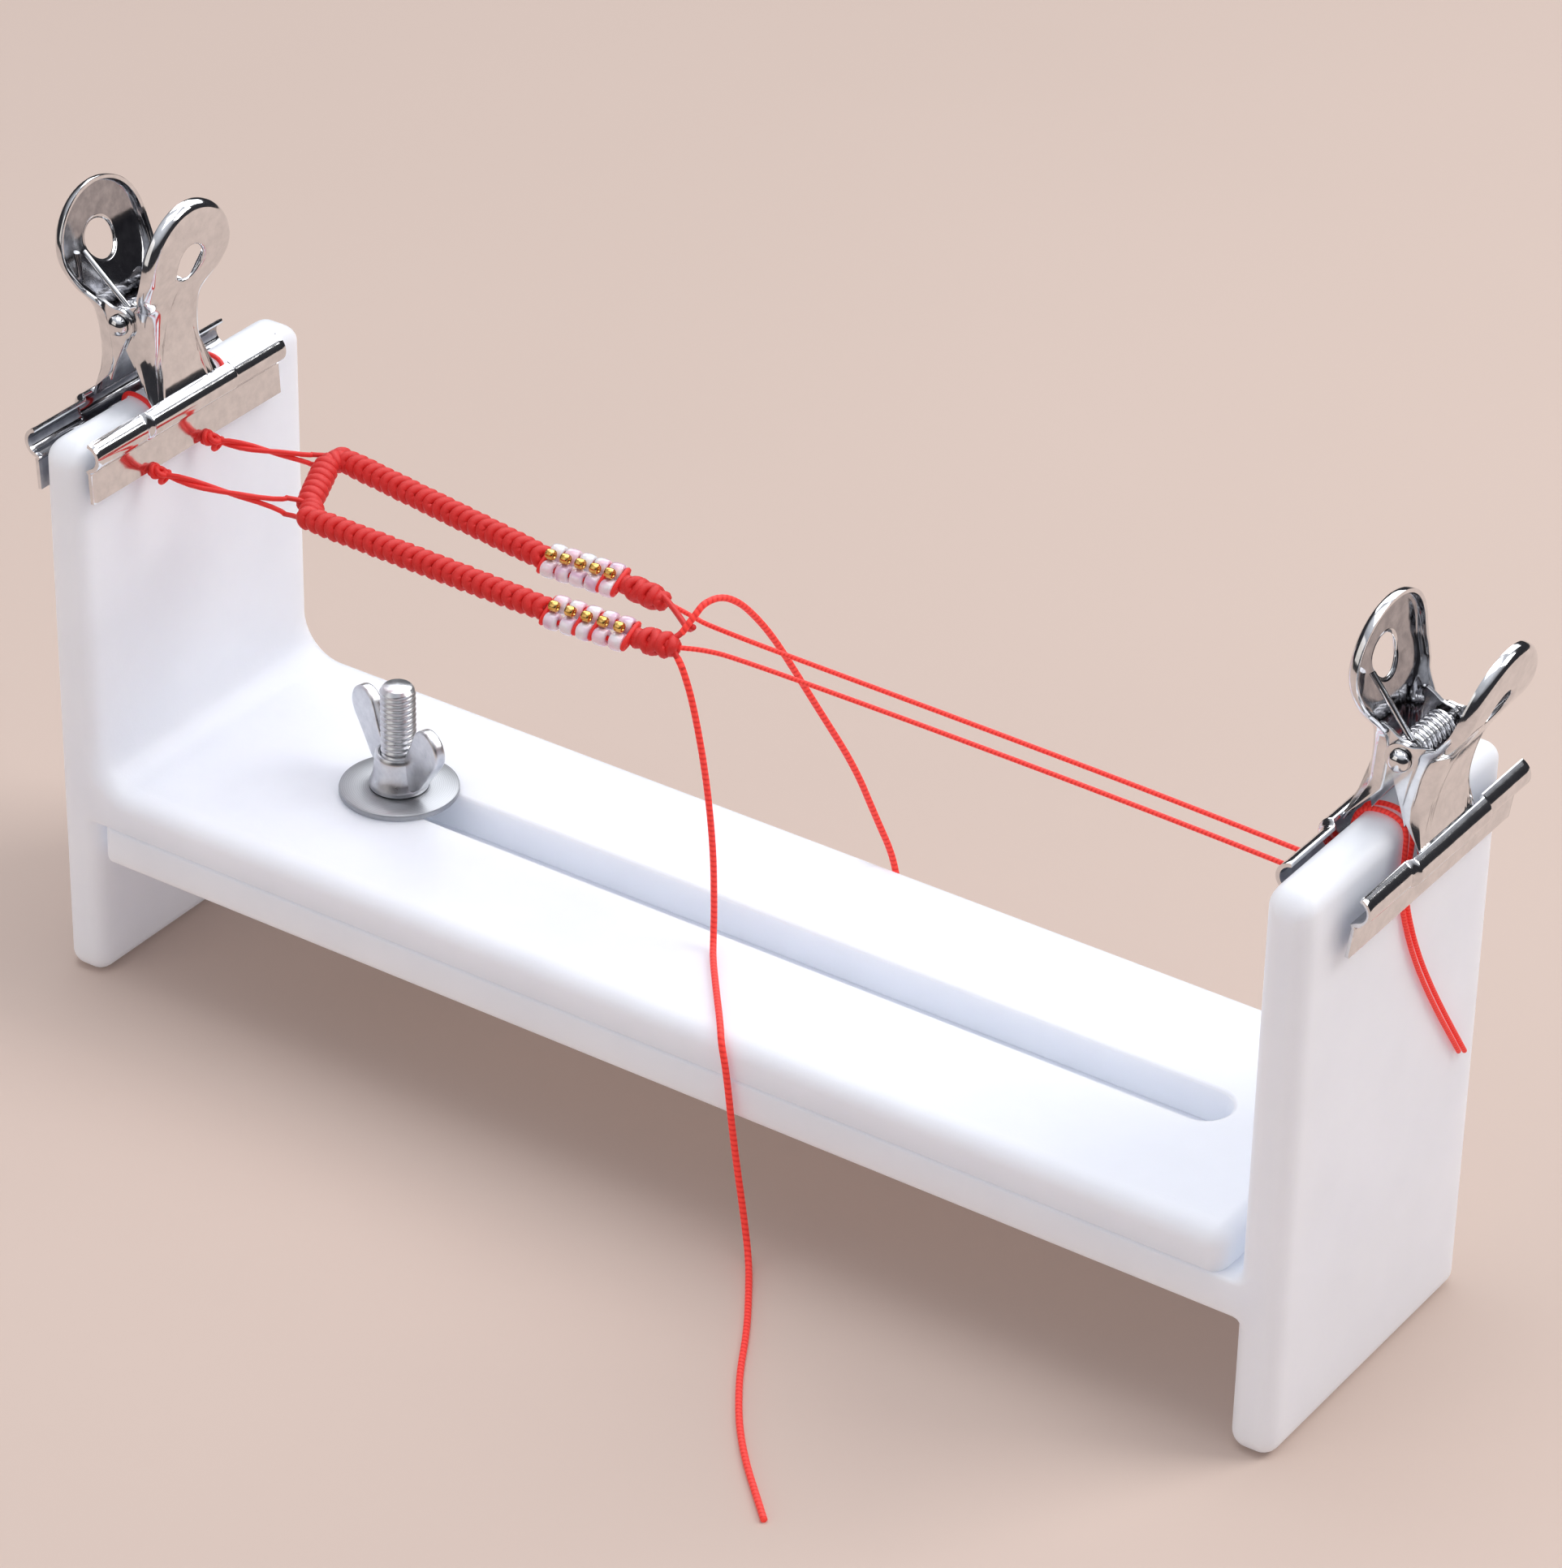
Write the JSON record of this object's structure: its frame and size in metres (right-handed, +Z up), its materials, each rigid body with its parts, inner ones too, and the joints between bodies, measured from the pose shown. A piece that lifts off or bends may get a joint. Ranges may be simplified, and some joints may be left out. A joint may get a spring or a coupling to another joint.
{
  "type": "bracelet jig",
  "caption": "Adjustable bracelet jig: overlapping moulded frames clamped by a bolt and wing nut, sprung clips on the uprights holding a knotted bracelet.",
  "frame": {"origin": "middle of the left upright's sole, on the table", "axes": "+X along the jig from the left upright to the right one, +Y to the back, +Z up"},
  "size_m": [0.2576, 0.1425, 0.1358],
  "materials": {
    "moulding": "satin",
    "zinc_steel": "bright zinc",
    "nickel_sheet": "bright nickel",
    "red_cord": "waxed",
    "pale_glass": "gloss",
    "gold_metal": "polished"
  },
  "bodies": {
    "base": {"left_frame": "moulding", "braid_bar": "red_cord", "braid_front_leg": "red_cord", "braid_back_leg": "red_cord", "knot_front": "red_cord", "knot_back": "red_cord", "anchor_cord_front": "red_cord", "anchor_cord_back": "red_cord", "core_cord_front": "red_cord", "core_cord_back": "red_cord", "hanging_cord": "red_cord", "looped_cord": "red_cord", "pale_beads_front": "pale_glass", "pale_beads_back": "pale_glass", "gold_beads_front": "gold_metal", "gold_beads_back": "gold_metal"},
    "slider": {"right_frame": "moulding", "clamp_bolt": "zinc_steel", "tail_cord_front": "red_cord", "tail_cord_back": "red_cord"},
    "washer": {"washer": "zinc_steel"},
    "wing_nut": {"wing_nut": "zinc_steel"},
    "left_clip": {"left_clip_outer_leaf": "nickel_sheet", "left_clip_pin": "nickel_sheet", "left_clip_spring": "nickel_sheet"},
    "left_clip_leaf": {"left_clip_inner_leaf": "nickel_sheet"},
    "right_clip": {"right_clip_outer_leaf": "nickel_sheet", "right_clip_pin": "nickel_sheet", "right_clip_spring": "nickel_sheet"},
    "right_clip_leaf": {"right_clip_inner_leaf": "nickel_sheet"}
  },
  "joints": [
    {"name": "frame_slide", "type": "slide", "parent": "base", "child": "slider", "axis": [1, 0, 0], "range_m": [0, 0.15], "deforming": ["core_cord_front", "core_cord_back"]},
    {"name": "wing_nut_turn", "type": "hinge", "parent": "slider", "child": "washer", "pos_m": [0.045, 0, 0.0387], "axis": [0, 0, 1], "range_deg": [0, 3600]},
    {"name": "wing_nut_lift", "type": "slide", "parent": "washer", "child": "wing_nut", "axis": [0, 0, 1], "range_m": [0, 0.01]},
    {"name": "left_clip_lift", "type": "slide", "parent": "base", "child": "left_clip", "axis": [0, 0, 1], "range_m": [0, 0.03]},
    {"name": "left_clip_squeeze", "type": "hinge", "parent": "left_clip", "child": "left_clip_leaf", "pos_m": [-0.00128, -0.004, 0.11436], "axis": [0, -1, 0], "range_deg": [0, 20], "stiffness_Nm_per_rad": 0.12, "springref_deg": -20.05, "deforming": ["left_clip_spring"]},
    {"name": "right_clip_lift", "type": "slide", "parent": "slider", "child": "right_clip", "axis": [0, 0, 1], "range_m": [0, 0.03]},
    {"name": "right_clip_squeeze", "type": "hinge", "parent": "right_clip", "child": "right_clip_leaf", "pos_m": [0.22992, 0.0045, 0.1111], "axis": [0, 1, 0], "range_deg": [0, 20], "stiffness_Nm_per_rad": 0.12, "springref_deg": -20.05, "deforming": ["right_clip_spring"]}
  ],
  "couplings": [
    {"joint": "wing_nut_turn", "follows": "wing_nut_lift", "rad_per_m": 6283.2}
  ]
}
